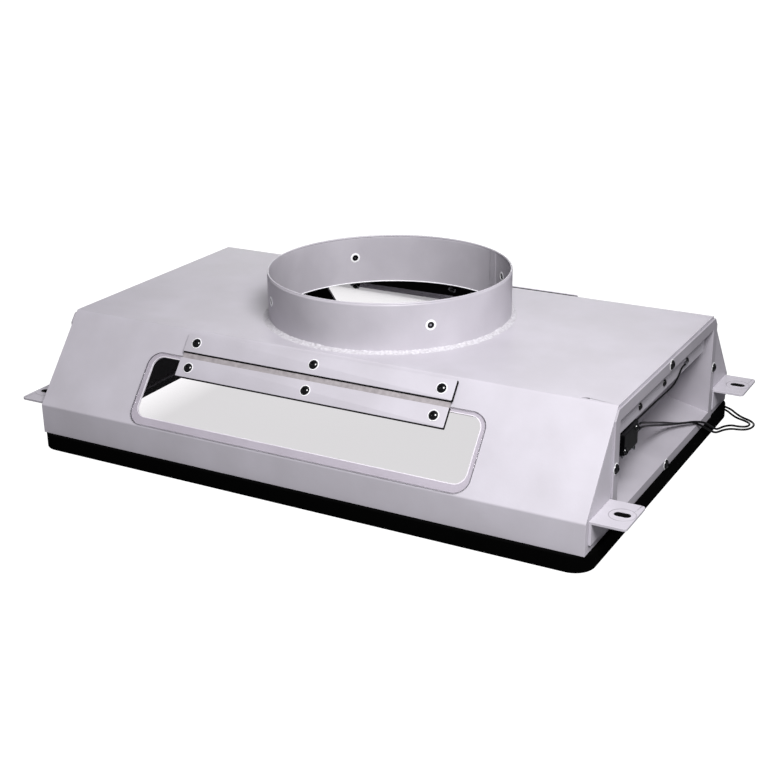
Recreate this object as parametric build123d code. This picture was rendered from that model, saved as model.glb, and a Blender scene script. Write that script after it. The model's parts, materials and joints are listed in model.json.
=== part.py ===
"""Duct hood of a solder fume extractor: a folded sheet hood on a rubber frame, with a round
duct collar, a flap window on each long side, and a recessed tray at each end.

Units are millimetres. +X runs along the hood to the end with the switch, +Y to the back and
+Z up. The origin is on the surface the rubber frame rests on, under the centre of the collar.
"""
import os
from math import atan2, cos, pi, radians, sin, tan

from build123d import *

# --- hood sheet ------------------------------------------------------------------------------
sheet = 1.5                 # folded sheet, everywhere on the hood
length = 479.0              # outside of one end plate to the other
top_width = 220.0           # flat top, fold to fold
bottom_width = 328.0        # outside of the aprons
apron_height = 24.5         # upright strip under each slope
slope_rise = 67.0           # from the lower fold to the top
fold_radius = 2.5           # outside radius of the folds
seat_flange = 15.0          # inward flange that sits on the rubber frame
top_slit = (6.5, 1.6)       # vent slit in the top, length and width
top_slit_place = (214.0, 3.2)   # from the middle, and in from the front fold

# --- rubber frame ----------------------------------------------------------------------------
gasket_thickness = 13.0
gasket_overhang = 3.5       # beyond the hood, all round
gasket_band = 7.0
gasket_corner = 16.0

# --- duct collar -----------------------------------------------------------------------------
collar_radius = 100.0       # outside, for 200 mm ducting
collar_wall = 1.2
collar_height = 39.6        # above the top
collar_lip = 5.0            # turned out under the top
collar_root_step = 0.6      # the root is necked in by this much, up to the bead's top
collar_root_gap = 0.3       # from the bead's top to the full radius
collar_drill = 10.0         # length of the drill that cuts the holes
collar_hole_radius = 2.75
collar_hole_height = 20.5   # above the top
collar_hole_turn = 47.0     # degrees from +X to the first hole
bead_width = 7.0
bead_height = 3.4

# --- flap windows, sizes up the slope from the lower fold --------------------------------------
opening_size = (291.0, 51.0)
opening_low = 8.3
opening_corner = 9.0
pane_size = (300.0, 61.4)
pane_low = 1.3
pane_corner = 12.0
pane_thickness = 1.5
bar_size = (238.0, 15.7)
bar_thickness = 1.5
bar_gap = 5.4               # between the hood bar and the flap bar
band_thickness = 0.6        # flexible hinge band
band_slot = 1.0             # the band is parted here, on the hinge line
pane_cover = 1.2            # pane above the edge of the flap bar's hinge line
screw_pitch = 109.0

# --- end trays ---------------------------------------------------------------------------------
tray_half_width = 108.0     # inside
tray_depth = 35.0           # inside, from the end plate
tray_lip = 20.5             # height of the floor at the mouth
tray_floor_rise = 9.0       # to the back of the tray
tray_ceiling_drop = 11.5    # from the top down to the tray's ceiling
tray_flange = 9.5           # at the sides
tray_flange_top = 9.0
tray_flange_foot = 0.3      # above the rubber frame

# --- mounting tabs -----------------------------------------------------------------------------
tab_width = 40.0
tab_reach = 26.5
tab_leg = 18.0              # down the end plate
tab_gap = 1.0               # beside the tray's flange
tab_thickness = 2.0
tab_slot_length = 11.0
tab_slot_width = 5.5
tab_slot_reach = 16.5       # slot centre, out from the end plate
tab_corner = 3.0

# --- wiring rail and switch --------------------------------------------------------------------
rail_end_gap = 8.0          # to the tray's side
rail_drop = 16.0
rail_shelf = 15.0
rail_set_back = 3.5         # behind the outside of the end plate
rail_screw_pitch = 54.0
switch_size = (10.3, 27.8, 15.9)
switch_inset = 28.0         # from the tray's front side to the middle of the switch
switch_gap = 1.1            # under the rail
switch_proud = 3.7          # in front of the rail
switch_hole_spread = (22.2, 10.3)
switch_bracket_margin = 3.0
lever_thickness = 0.6
lever_width = 5.0
knuckle_radius = 0.75
pin_radius = 0.4            # hole in the lever for its pin
yoke_ear = 1.0
yoke_gap = 0.3
lever_curl = 2.0            # radius of the rolled tip
lever_gap = 0.9             # pin under the switch
pivot_inset = 2.0           # pin in from the switch's end
lever_rest = 5.0            # degrees the free lever hangs down
lever_reach = 2.0           # beyond the switch
plunger_radius = 1.5
plunger_place = 9.0         # from the lever's pivot
plunger_gap = 0.1           # between the lever and the plunger
plunger_bore = 3.0          # depth of its hole
plunger_play = 1.3          # free depth over the plunger
tab_pitch = 4.8             # between the switch's blades
blade_length = 4.6
blade_half = (1.6, 0.4)     # half its width and thickness
sleeve_length = 8.0
sleeve_gap = 0.8            # from the switch to a sleeve
sleeve_radius = 1.7

# --- fasteners -------------------------------------------------------------------------------
m4_radius = 2.0
m4_head = (3.8, 2.2)        # button head, radius and height
m4_nut = (3.5, 3.2)         # half the width over flats, height
m3_radius = 1.5
m3_head = (2.85, 1.65)
m3_nut = (2.75, 2.4)

# --- wires -------------------------------------------------------------------------------------
lead_diameter = 1.8
rail_wire_diameter = 1.4
plug_size = (16.0, 8.0, 5.5)
plug_nose = 6.0

# --- clearances --------------------------------------------------------------------------------
hole_clearance = 0.25       # radius, round a screw
seat_clearance = 0.3        # between a flap and the slope it rests on
tray_clearance = 0.3        # round the tray in the end plate
collar_clearance = 0.15     # round the collar in the top
pivot_clearance = 0.05

# --- places worked out from the sizes -----------------------------------------------------------
half_length = length / 2
z_seat = gasket_thickness
z_fold = z_seat + apron_height
z_top = z_fold + slope_rise
slope_run = (bottom_width - top_width) / 2
slope_angle = atan2(slope_rise, slope_run)
z_collar = z_top + collar_height
root_radius = collar_radius - collar_root_step
seat_half_width = bottom_width / 2 - seat_flange
tray_ceiling = z_top - tray_ceiling_drop
rail_half_length = tray_half_width - rail_end_gap
switch_centre = switch_inset - tray_half_width

pane_low_n = seat_clearance
band_low = pane_low_n + pane_thickness
bar_low = band_low + band_thickness
bar_top = bar_low + bar_thickness
hinge_up = pane_low + pane_size[1] + pane_cover
hinge_out = band_low + band_thickness / 2
flap_bar_top = hinge_up - bar_gap / 2
hood_bar_low = hinge_up + bar_gap / 2
flap_screw_up = flap_bar_top - bar_size[1] / 2
hood_screw_up = hood_bar_low + bar_size[1] / 2

tab_centre = tray_half_width + tray_flange + tab_gap + tab_width / 2

SIDES = {"front": -1, "back": 1}
ENDS = {"right": 1, "left": -1}


def slope_plane(side):
    """Plane of a slope's outside: X along the lower fold, Y up the slope, Z outwards."""
    normal = (0, side * sin(slope_angle), cos(slope_angle))
    return Plane(origin=(0, side * bottom_width / 2, z_fold), x_dir=(-side, 0, 0), z_dir=normal)


def on_slope(side, shape):
    return slope_plane(side).location * shape


def slab(x0, x1, y0, y1, z0, z1):
    """Box between two corners."""
    centre = Pos((x0 + x1) / 2, (y0 + y1) / 2, (z0 + z1) / 2)
    return centre * Box(x1 - x0, y1 - y0, z1 - z0)


def plate(size, low, z0, z1, corner):
    """Flat plate with round corners, centred on local X, its lower edge at local Y = low."""
    face = Pos(0, low + size[1] / 2, z0) * RectangleRounded(size[0], size[1], corner)
    return extrude(face, amount=z1 - z0)


def rod(radius, z0, z1):
    return Pos(0, 0, (z0 + z1) / 2) * Cylinder(radius, z1 - z0)


def hexagon(half_flats, z0, z1):
    face = Pos(0, 0, z0) * RegularPolygon(half_flats, 6, major_radius=False)
    return extrude(face, amount=z1 - z0)


def button_screw(radius, head, grip, tail):
    """Button-head screw: its head stands on local Z = 0 and its shank runs down."""
    dome = rod(head[0], 0, head[1])
    rim = dome.edges().sort_by(Axis.Z)[-1]
    dome = fillet(rim, head[1] * 0.8)
    socket = hexagon(head[0] * 0.33, head[1] * 0.45, head[1] + 1)
    return dome - socket + rod(radius, -grip - tail, 0)


def nut(radius, size, top):
    """Hexagon nut whose upper face is at local Z = top."""
    return hexagon(size[0], top - size[1], top) - rod(radius + pivot_clearance, top - size[1] - 1, top + 1)


def group(shapes):
    return Compound(children=list(shapes))


# --- hood --------------------------------------------------------------------------------------
def hood_profile(inset, low):
    """Section across the hood, its walls moved in by inset, down to Z = low."""
    wall = bottom_width / 2 - inset
    fold_z = z_fold - inset * tan((pi / 2 - slope_angle) / 2)
    top_y = top_width / 2 - inset * tan(slope_angle / 2)
    top_z = z_top - inset
    outline = [(-wall, low), (-wall, fold_z), (-top_y, top_z), (top_y, top_z), (wall, fold_z), (wall, low)]
    face = Plane.YZ * make_face(Polyline(outline, close=True))
    corners = [v for v in face.vertices() if v.Z > low + 1]
    return fillet(corners, max(fold_radius - inset, 0.5))


def prism_along_x(face, half):
    return extrude(face, amount=half, dir=(1, 0, 0), both=True)


def tray_opening():
    """What the right end plate leaves free for its tray."""
    wall = sheet + tray_clearance
    return slab(half_length - 3 * sheet, half_length + sheet, -tray_half_width - wall, tray_half_width + wall,
                tray_lip - wall, tray_ceiling + wall)


def hood_cover():
    """Top, slopes and aprons folded from one sheet, with the long seat flanges."""
    body = prism_along_x(hood_profile(0, z_seat), half_length)
    body -= prism_along_x(hood_profile(sheet, z_seat + sheet), half_length + 1)
    body -= slab(-half_length - 1, half_length + 1, -seat_half_width, seat_half_width,
                 z_seat - 1, z_seat + 2 * sheet)
    body -= rod(collar_radius + collar_clearance, z_top - 3 * sheet, z_top + sheet)
    slit_y = -top_width / 2 + top_slit_place[1]
    slit = Pos(top_slit_place[0], slit_y, z_top - 3 * sheet) * SlotOverall(*top_slit)
    body -= extrude(slit, amount=4 * sheet)
    for side in SIDES.values():
        body -= on_slope(side, plate(opening_size, opening_low, -3 * sheet, sheet, opening_corner))
        for x in hinge_screw_places():
            hole = rod(m4_radius + hole_clearance, -3 * sheet, sheet)
            body -= on_slope(side, Pos(x, hood_screw_up, 0) * hole)
    return body


def end_plate(end):
    """Plate that closes one end between the folds, with its own seat flange."""
    plate_body = prism_along_x(hood_profile(sheet, z_seat + sheet), half_length)
    plate_body -= slab(-half_length - 1, half_length - sheet, -bottom_width, bottom_width, 0, z_collar)
    plate_body += slab(half_length - seat_flange, half_length, -seat_half_width, seat_half_width,
                       z_seat, z_seat + sheet)
    plate_body -= tray_opening()
    for y, z in tray_screw_places():
        plate_body -= end_rod(1, y, z, m4_radius + hole_clearance)
    return plate_body if end > 0 else mirror(plate_body, Plane.YZ)


def end_rod(end, y, z, radius):
    """Rod along X through one end plate and whatever is fixed on it."""
    x = end * half_length
    return Pos(x, y, z) * Rot(0, 90, 0) * Cylinder(radius, 8 * sheet)


# --- collar ------------------------------------------------------------------------------------
def duct_collar():
    """Rolled tube, necked in at its root, with a lip turned out under the top."""
    low = z_top - sheet - collar_wall
    neck = z_top + bead_height + collar_root_gap
    collar = rod(collar_radius, neck, z_collar) + rod(root_radius, low, neck)
    collar += rod(collar_radius + collar_lip, low, z_top - sheet)
    collar -= rod(root_radius - collar_wall, low - 1, neck + collar_wall)
    collar -= rod(collar_radius - collar_wall, neck + collar_wall, z_collar + 1)
    for quarter in range(4):
        turn = collar_hole_turn + 90 * quarter
        hole = Pos(collar_radius, 0, z_top + collar_hole_height) * Rot(0, 90, 0)
        hole *= Cylinder(collar_hole_radius, collar_drill)
        collar -= Rot(0, 0, turn) * hole
    return collar


def collar_bead():
    """Bead of sealant round the collar's foot: a concave fillet turned about the collar."""
    inner = root_radius + pivot_clearance
    corner = (inner, z_top)
    foot = (inner + bead_width, z_top)
    head = (inner, z_top + bead_height)
    middle = (inner + bead_width * 0.38, z_top + bead_height * 0.42)
    edge = Line(corner, foot) + ThreePointArc(foot, middle, head) + Line(head, corner)
    return revolve(Plane.XZ * make_face(edge), Axis.Z)


# --- flap windows --------------------------------------------------------------------------------
def hinge_screw_places():
    return (-screw_pitch, 0, screw_pitch)


def drilled(shape, up, radius):
    for x in hinge_screw_places():
        shape -= Pos(x, up, 0) * rod(radius, -5, 10)
    return shape


def window_parts(side):
    """The pieces of one window, by name, each in its place on the slope."""
    hole = m4_radius + hole_clearance
    flap_bar_low = flap_bar_top - bar_size[1]
    half = bar_size[0] / 2
    pane = plate(pane_size, pane_low, pane_low_n, band_low, pane_corner)
    flap_band = slab(-half, half, flap_bar_low, hinge_up - band_slot / 2, band_low, bar_low)
    flap_bar = slab(-half, half, flap_bar_low, flap_bar_top, bar_low, bar_top)
    hood_band = slab(-half, half, hinge_up + band_slot / 2, hood_bar_low + bar_size[1], band_low, bar_low)
    hood_bar = slab(-half, half, hood_bar_low, hood_bar_low + bar_size[1], bar_low, bar_top)
    packer = slab(-half, half, hood_bar_low, hood_bar_low + bar_size[1], 0, band_low)
    flap_screw = Pos(0, 0, bar_top) * button_screw(m4_radius, m4_head, bar_top, m4_nut[1] + 1)
    hood_screw = Pos(0, 0, bar_top) * button_screw(m4_radius, m4_head, bar_top + sheet, m4_nut[1] + 1)
    flap_nut = nut(m4_radius, m4_nut, pane_low_n)
    hood_nut = nut(m4_radius, m4_nut, -sheet)
    xs = hinge_screw_places()
    pieces = {
        "window_pane": drilled(pane, flap_screw_up, hole),
        "flap_band": drilled(flap_band, flap_screw_up, hole),
        "flap_bar": drilled(flap_bar, flap_screw_up, hole),
        "flap_screws": group(Pos(x, flap_screw_up, 0) * flap_screw for x in xs),
        "flap_nuts": group(Pos(x, flap_screw_up, 0) * flap_nut for x in xs),
        "hinge_packer": drilled(packer, hood_screw_up, hole),
        "hinge_band": drilled(hood_band, hood_screw_up, hole),
        "hinge_bar": drilled(hood_bar, hood_screw_up, hole),
        "hinge_screws": group(Pos(x, hood_screw_up, 0) * hood_screw for x in xs),
        "hinge_nuts": group(Pos(x, hood_screw_up, 0) * hood_nut for x in xs),
    }
    return {name: on_slope(side, piece) for name, piece in pieces.items()}


# --- end trays -----------------------------------------------------------------------------------
def tray_screw_places():
    side_y = tray_half_width + tray_flange / 2 + 1
    side_z = (tray_lip + tray_ceiling) / 2 + 2
    top_z = tray_ceiling + tray_flange_top / 2 + 1
    foot_z = (z_seat + tray_flange_foot + tray_lip) / 2
    return [(-side_y, side_z), (side_y, side_z), (0, top_z), (0, foot_z)]


def tray_nut_places():
    """The foot screw bites in the sheet itself, so it has no nut."""
    return tray_screw_places()[:3]


def tray_section(inset, x_out):
    """Side view of the tray's hollow, its walls moved out by inset: the floor falls to the mouth."""
    x_back = half_length - tray_depth - inset
    floor_back = tray_lip + tray_floor_rise - inset
    outline = [(x_out, tray_lip - inset), (x_back, floor_back),
               (x_back, tray_ceiling + inset), (x_out, tray_ceiling + inset)]
    return Plane.XZ * make_face(Polyline(outline, close=True))


def end_tray(end):
    half = tray_half_width
    outer = extrude(tray_section(sheet, half_length), amount=half + sheet, dir=(0, 1, 0), both=True)
    hollow = extrude(tray_section(0, half_length + 2 * sheet), amount=half, dir=(0, 1, 0), both=True)
    flange = slab(half_length, half_length + sheet, -half - tray_flange, half + tray_flange,
                  z_seat + tray_flange_foot, tray_ceiling + tray_flange_top)
    flange &= prism_along_x(hood_profile(0, z_seat), half_length + sheet)
    tray = outer + flange - hollow
    for y, z in tray_screw_places():
        tray -= end_rod(1, y, z, m4_radius + hole_clearance)
    return tray if end > 0 else mirror(tray, Plane.YZ)


def on_end(end, place, shape):
    """Stand a shape made along +Z on an end plate, pointing outwards."""
    x, y, z = place
    return Pos(end * x, y, z) * Rot(0, 90 * end, 0) * shape


def tray_screws(end):
    screw = button_screw(m4_radius, m4_head, 2 * sheet, m4_nut[1] + 0.5)
    x = half_length + sheet
    return group(on_end(end, (x, y, z), screw) for y, z in tray_screw_places())


def tray_nuts(end):
    piece = nut(m4_radius, m4_nut, 0)
    x = half_length - sheet
    return group(on_end(end, (x, y, z), piece) for y, z in tray_nut_places())


# --- rubber frame and tabs -------------------------------------------------------------------------
def rubber_frame():
    outer = (length + 2 * gasket_overhang, bottom_width + 2 * gasket_overhang)
    inner = (outer[0] - 2 * gasket_band, outer[1] - 2 * gasket_band)
    ring = RectangleRounded(*outer, gasket_corner)
    ring -= RectangleRounded(*inner, gasket_corner - gasket_band)
    return extrude(ring, amount=gasket_thickness)


def mounting_tab(end, side):
    """Angle with a slotted ear, level with the lower fold. Its leg lies on the end plate."""
    x_out = half_length + tab_reach
    leg = slab(half_length, half_length + tab_thickness, -tab_width / 2, tab_width / 2,
               z_fold - tab_leg, z_fold)
    ear = slab(half_length, x_out, -tab_width / 2, tab_width / 2, z_fold - tab_thickness, z_fold)
    far = [e for e in ear.edges().filter_by(Axis.Z) if e.center().X > x_out - 1]
    ear = fillet(far, tab_corner)
    slot = Pos(half_length + tab_slot_reach, 0, z_fold - 2 * tab_thickness)
    slot *= SlotOverall(tab_slot_length, tab_slot_width)
    tab = ear + leg - extrude(slot, amount=4 * tab_thickness)
    tab = Pos(0, side * tab_centre, 0) * tab
    return tab if end > 0 else mirror(tab, Plane.YZ)


# --- wiring rail and switch, in the right-hand tray ----------------------------------------------------
rail_x = half_length - rail_set_back        # outside of the rail's face
rail_low = tray_ceiling - rail_drop
switch_x = rail_x + switch_proud            # outside face of the switch
bracket_x = switch_x - switch_size[0]
switch_top = rail_low - switch_gap
switch_low = switch_top - switch_size[2]
switch_y0 = switch_centre - switch_size[1] / 2
switch_y1 = switch_centre + switch_size[1] / 2
blade_x = bracket_x + switch_size[0] / 2
pivot_y = switch_y0 + pivot_inset
pivot_z = switch_low - lever_gap


def rail_screw_places():
    return (-rail_screw_pitch, 0, rail_screw_pitch)


def rail_screw_z():
    return (rail_low + tray_ceiling - sheet) / 2 - 1


def wiring_rail():
    face = slab(rail_x - sheet, rail_x, -rail_half_length, rail_half_length, rail_low, tray_ceiling)
    shelf = slab(rail_x - rail_shelf, rail_x, -rail_half_length, rail_half_length,
                 tray_ceiling - sheet, tray_ceiling)
    rail = face + shelf
    for y in rail_screw_places():
        hole = Pos(rail_x, y, rail_screw_z()) * Rot(0, 90, 0)
        rail -= hole * Cylinder(m3_radius + hole_clearance, 4 * sheet)
    return rail


def rail_screws():
    screw = button_screw(m3_radius, m3_head, sheet, m3_nut[1] + 0.5)
    return group(on_end(1, (rail_x, y, rail_screw_z()), screw) for y in rail_screw_places())


def rail_nuts():
    piece = nut(m3_radius, m3_nut, 0)
    return group(on_end(1, (rail_x - sheet, y, rail_screw_z()), piece) for y in rail_screw_places())


def switch_hole_places():
    dy = switch_hole_spread[0] / 2
    dz = switch_hole_spread[1] / 2
    mid = (switch_low + switch_top) / 2
    return [(switch_centre - dy, mid - dz), (switch_centre + dy, mid + dz)]


def switch_bracket():
    y0 = switch_y0 - switch_bracket_margin
    y1 = switch_y1 + switch_bracket_margin
    web = slab(bracket_x - sheet, bracket_x, y0, y1, switch_low, tray_ceiling - sheet)
    foot = slab(bracket_x - sheet, rail_x - sheet, y0, y1, tray_ceiling - 2 * sheet, tray_ceiling - sheet)
    bracket = web + foot
    for y, z in switch_hole_places():
        bracket -= Pos(bracket_x, y, z) * Rot(0, 90, 0) * Cylinder(m3_radius + hole_clearance, 6)
    return bracket


def switch_body():
    body = slab(bracket_x, switch_x, switch_y0, switch_y1, switch_low, switch_top)
    body = fillet(body.edges().filter_by(Axis.X), 0.8)
    for y, z in switch_hole_places():
        body -= Pos(bracket_x, y, z) * Rot(0, 90, 0) * Cylinder(m3_radius + hole_clearance, 40)
    return body - rod_at(blade_x, pivot_y + plunger_place, plunger_radius + pivot_clearance,
                         switch_low - 1, switch_low + plunger_bore)


def rod_at(x, y, radius, z0, z1):
    return Pos(x, y, 0) * rod(radius, z0, z1)


def switch_screws():
    screw = button_screw(m3_radius, m3_head, switch_size[0] + sheet, m3_nut[1] + 0.5)
    return group(on_end(1, (switch_x, y, z), screw) for y, z in switch_hole_places())


def switch_nuts():
    piece = nut(m3_radius, m3_nut, 0)
    return group(on_end(1, (bracket_x - sheet, y, z), piece) for y, z in switch_hole_places())


def switch_plunger():
    drop = plunger_place * tan(radians(lever_rest)) - lever_thickness / 2 / cos(radians(lever_rest))
    return rod_at(blade_x, pivot_y + plunger_place, plunger_radius, pivot_z - drop + plunger_gap,
                  switch_low + plunger_bore - plunger_play)


def switch_lever():
    """Sprung strip under the switch with a rolled tip, on a pin at its root."""
    reach = switch_y1 + lever_reach - pivot_y
    half = lever_thickness / 2
    strip = slab(-lever_width / 2, lever_width / 2, 0, reach, -half, half)
    tip = Pos(0, reach, half - lever_curl) * Rot(0, 90, 0)
    curl = tip * Cylinder(lever_curl, lever_width)
    curl -= tip * Cylinder(lever_curl - lever_thickness, lever_width + 1)
    across = Rot(0, 90, 0)
    lever = strip + curl + across * Cylinder(knuckle_radius, lever_width)
    lever -= across * Cylinder(pin_radius, lever_width + 1)
    return Pos(blade_x, pivot_y, pivot_z) * Rot(-lever_rest, 0, 0) * lever


def lever_yoke():
    """Two ears under the switch with the pin that the lever turns on."""
    root = Pos(blade_x, pivot_y, pivot_z) * Rot(0, 90, 0)
    yoke = root * Cylinder(pin_radius - pivot_clearance, lever_width + 2 * yoke_gap + 2 * yoke_ear)
    for hand in (-1, 1):
        x = blade_x + hand * (lever_width / 2 + yoke_gap + yoke_ear / 2)
        yoke += slab(x - yoke_ear / 2, x + yoke_ear / 2, pivot_y - 1.2, pivot_y + 1.2,
                     pivot_z - 1.2, switch_low)
    return yoke


def blade_places():
    mid = (switch_low + switch_top) / 2
    return [mid + tab_pitch * k for k in (1, 0, -1)]


def switch_blades():
    half_x, half_z = blade_half
    return group(slab(blade_x - half_x, blade_x + half_x, switch_y1, switch_y1 + blade_length,
                      z - half_z, z + half_z) for z in blade_places())


def blade_sleeves():
    """Insulated push-on sleeves over the switch's blades."""
    y0 = switch_y1 + sleeve_gap
    sleeves = []
    for z in blade_places():
        body = Pos(blade_x, y0 + sleeve_length / 2, z) * Rot(90, 0, 0)
        body *= Cylinder(sleeve_radius + blade_half[1], sleeve_length)
        half_x = blade_half[0] + pivot_clearance
        half_z = blade_half[1] + pivot_clearance
        sleeves.append(body - slab(blade_x - half_x, blade_x + half_x, y0 - 1,
                                   switch_y1 + blade_length + pivot_clearance, z - half_z, z + half_z))
    return group(sleeves)


# --- wires ---------------------------------------------------------------------------------------
lead_a_route = [
    (234.55, -57.3, 67.95), (234.55, -48.0, 67.95), (233.4, -34.0, 62.6), (231.4, -14.0, 54.9),
    (229.6, 8.0, 46.4), (228.6, 30.0, 38.2), (230.4, 47.0, 31.6), (234.4, 60.0, 27.6),
    (240.2, 71.0, 26.2), (245.8, 83.0, 22.2), (247.8, 96.0, 14.0), (247.6, 109.0, 7.0),
    (247.0, 121.0, 2.3), (248.2, 131.2, 0.95), (253.2, 137.6, 0.95), (260.2, 137.2, 0.95),
    (266.8, 140.2, 0.95), (267.2, 147.8, 0.95), (260.8, 152.4, 0.95), (253.8, 155.0, 0.95),
    (247.4, 160.6, 0.95), (240.5, 168.8, 0.95), (229.5, 174.6, 0.95), (214.0, 176.2, 0.95),
    (196.0, 175.4, 0.95), (176.0, 177.75, 0.95), (158.0, 177.75, 0.95),
]
lead_b_route = [
    (234.55, -57.3, 63.15), (234.55, -48.0, 63.15), (232.2, -34.0, 59.0), (229.0, -14.0, 51.8),
    (226.8, 8.0, 43.6), (225.6, 30.0, 35.4), (227.4, 49.0, 29.2), (232.6, 63.0, 26.2),
    (239.0, 74.0, 24.6), (245.2, 84.0, 17.6), (248.0, 96.0, 10.0), (248.4, 107.0, 4.6),
    (248.6, 116.5, 1.6), (250.8, 124.6, 0.95), (256.0, 130.0, 0.95), (262.0, 130.8, 0.95),
    (267.6, 133.4, 0.95), (270.8, 139.8, 0.95), (270.6, 148.2, 0.95), (265.2, 154.6, 0.95),
    (258.0, 158.0, 0.95), (250.8, 163.8, 0.95), (242.4, 173.8, 0.95), (230.0, 179.2, 0.95),
    (213.0, 180.6, 0.95), (196.0, 179.4, 0.95), (176.0, 180.25, 0.95), (158.0, 180.25, 0.95),
]
rail_wire_route = [
    (234.55, -57.3, 72.75), (234.55, -48.0, 72.75), (235.0, -34.0, 73.1), (235.4, -14.0, 73.4),
    (236.0, 5.0, 73.2), (237.0, 20.0, 74.2), (237.6, 30.0, 78.4), (237.4, 38.0, 83.25),
    (237.4, 46.0, 83.25),
]


def bend_radii(route):
    """Radius at each corner: 0.45 of the shorter run over the tangent of half the turn."""
    points = [Vector(*p) for p in route]
    radii = []
    for before, here, after in zip(points, points[1:], points[2:]):
        run_in = here - before
        run_out = after - here
        turn = run_in.get_angle(run_out)
        shorter = min(run_in.length, run_out.length)
        radii.append(0.45 * shorter / tan(radians(turn) / 2))
    return radii


def wire(route, diameter):
    radii = bend_radii(route)
    path = FilletPolyline(*route, radius=radii)
    start = Plane(origin=route[0], z_dir=path % 0)
    return sweep(start * Circle(diameter / 2), path=path)


def wire_eyelet():
    """Crimped eye that ties the rail wire to the last rail screw."""
    x, y0, z = rail_wire_route[-1]
    y1 = rail_screw_pitch - m3_head[0]
    barrel = Pos(x, (y0 + y1) / 2, z) * Rot(90, 0, 0) * Cylinder(1.2, y1 - y0)
    return barrel + slab(rail_x, x, y0 + 1, y1, z - 1.2, z + 1.2)


def lead_plug():
    """Two-way plug on the leads: a housing with a latched nose, lying on its broad side."""
    x1 = lead_a_route[-1][0]
    y = (lead_a_route[-1][1] + lead_b_route[-1][1]) / 2
    long, wide, high = plug_size
    body = slab(x1 - long, x1, y - wide / 2, y + wide / 2, 0, high)
    body = fillet(body.edges().filter_by(Axis.X), 0.7)
    nose = slab(x1 - long - plug_nose, x1 - long, y - wide / 2 + 0.8, y + wide / 2 - 0.8, 0.8, high - 0.8)
    latch = slab(x1 - long - plug_nose + 1.5, x1 - 3, y - 1.6, y + 1.6, high - 0.9, high + 0.9)
    return body + nose + latch


# --- every piece by node name -------------------------------------------------------------------------
def all_parts():
    parts = {
        "hood_cover": hood_cover(),
        "duct_collar": duct_collar(),
        "collar_bead": collar_bead(),
        "rubber_frame": rubber_frame(),
        "wiring_rail": wiring_rail(),
        "rail_screws": rail_screws(),
        "rail_nuts": rail_nuts(),
        "switch_bracket": switch_bracket(),
        "switch_body": switch_body(),
        "switch_screws": switch_screws(),
        "switch_nuts": switch_nuts(),
        "switch_plunger": switch_plunger(),
        "switch_lever": switch_lever(),
        "lever_yoke": lever_yoke(),
        "switch_blades": switch_blades(),
        "blade_sleeves": blade_sleeves(),
        "rail_wire": wire(rail_wire_route, rail_wire_diameter),
        "wire_eyelet": wire_eyelet(),
        "lead_wire_a": wire(lead_a_route, lead_diameter),
        "lead_wire_b": wire(lead_b_route, lead_diameter),
        "lead_plug": lead_plug(),
    }
    for side_name, side in SIDES.items():
        for name, piece in window_parts(side).items():
            parts[f"{side_name}_{name}"] = piece
        for end_name, end in ENDS.items():
            parts[f"tab_{side_name}_{end_name}"] = mounting_tab(end, side)
    for end_name, end in ENDS.items():
        parts[f"end_plate_{end_name}"] = end_plate(end)
        parts[f"end_tray_{end_name}"] = end_tray(end)
        parts[f"tray_screws_{end_name}"] = tray_screws(end)
        parts[f"tray_nuts_{end_name}"] = tray_nuts(end)
    return parts


os.makedirs("parts", exist_ok=True)
for node, shape in all_parts().items():
    export_step(shape, f"parts/{node}.step")
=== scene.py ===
"""Looks of a sheet-metal fume hood: powder-coated folded sheet on a black rubber frame, with a
rolled duct collar, two clear flap windows, recessed ends, a lever switch and its two leads.
"""

import json
from math import cos, pi, radians, sin

import bmesh
import bpy
import numpy as np
from mathutils import Matrix, Vector

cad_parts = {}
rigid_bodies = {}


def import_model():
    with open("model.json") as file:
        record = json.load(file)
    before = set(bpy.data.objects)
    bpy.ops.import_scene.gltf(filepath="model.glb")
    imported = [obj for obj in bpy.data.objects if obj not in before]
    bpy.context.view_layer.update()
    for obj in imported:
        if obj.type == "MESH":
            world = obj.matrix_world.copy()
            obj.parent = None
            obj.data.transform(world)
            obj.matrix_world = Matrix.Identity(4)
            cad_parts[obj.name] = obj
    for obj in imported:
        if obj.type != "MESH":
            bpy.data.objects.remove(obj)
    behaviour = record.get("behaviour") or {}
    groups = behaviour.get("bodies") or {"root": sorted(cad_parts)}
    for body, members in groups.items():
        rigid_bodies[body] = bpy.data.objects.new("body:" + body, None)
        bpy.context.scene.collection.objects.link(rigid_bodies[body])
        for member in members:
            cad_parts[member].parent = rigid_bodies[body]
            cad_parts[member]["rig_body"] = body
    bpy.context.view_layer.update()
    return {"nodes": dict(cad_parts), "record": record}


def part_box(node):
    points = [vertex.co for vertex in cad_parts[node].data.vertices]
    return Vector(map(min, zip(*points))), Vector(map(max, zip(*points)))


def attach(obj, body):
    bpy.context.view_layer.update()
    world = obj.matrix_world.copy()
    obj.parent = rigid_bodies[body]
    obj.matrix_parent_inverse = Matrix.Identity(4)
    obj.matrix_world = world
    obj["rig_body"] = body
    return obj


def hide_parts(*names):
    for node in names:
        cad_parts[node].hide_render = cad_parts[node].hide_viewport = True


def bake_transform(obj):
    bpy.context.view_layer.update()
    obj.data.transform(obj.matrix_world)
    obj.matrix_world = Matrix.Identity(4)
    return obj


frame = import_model()
nodes = frame["nodes"]
rng = np.random.default_rng(7)
MM = 0.001


# --- nodes and colours --------------------------------------------------------------------------
def colour(code):
    """sRGB hex to linear: c / 12.92 below 0.04045, else ((c + 0.055) / 1.055) to the 2.4."""
    parts = [int(code[i:i + 2], 16) / 255 for i in (1, 3, 5)]
    return tuple(c / 12.92 if c <= 0.04045 else ((c + 0.055) / 1.055) ** 2.4 for c in parts) + (1.0,)


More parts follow.
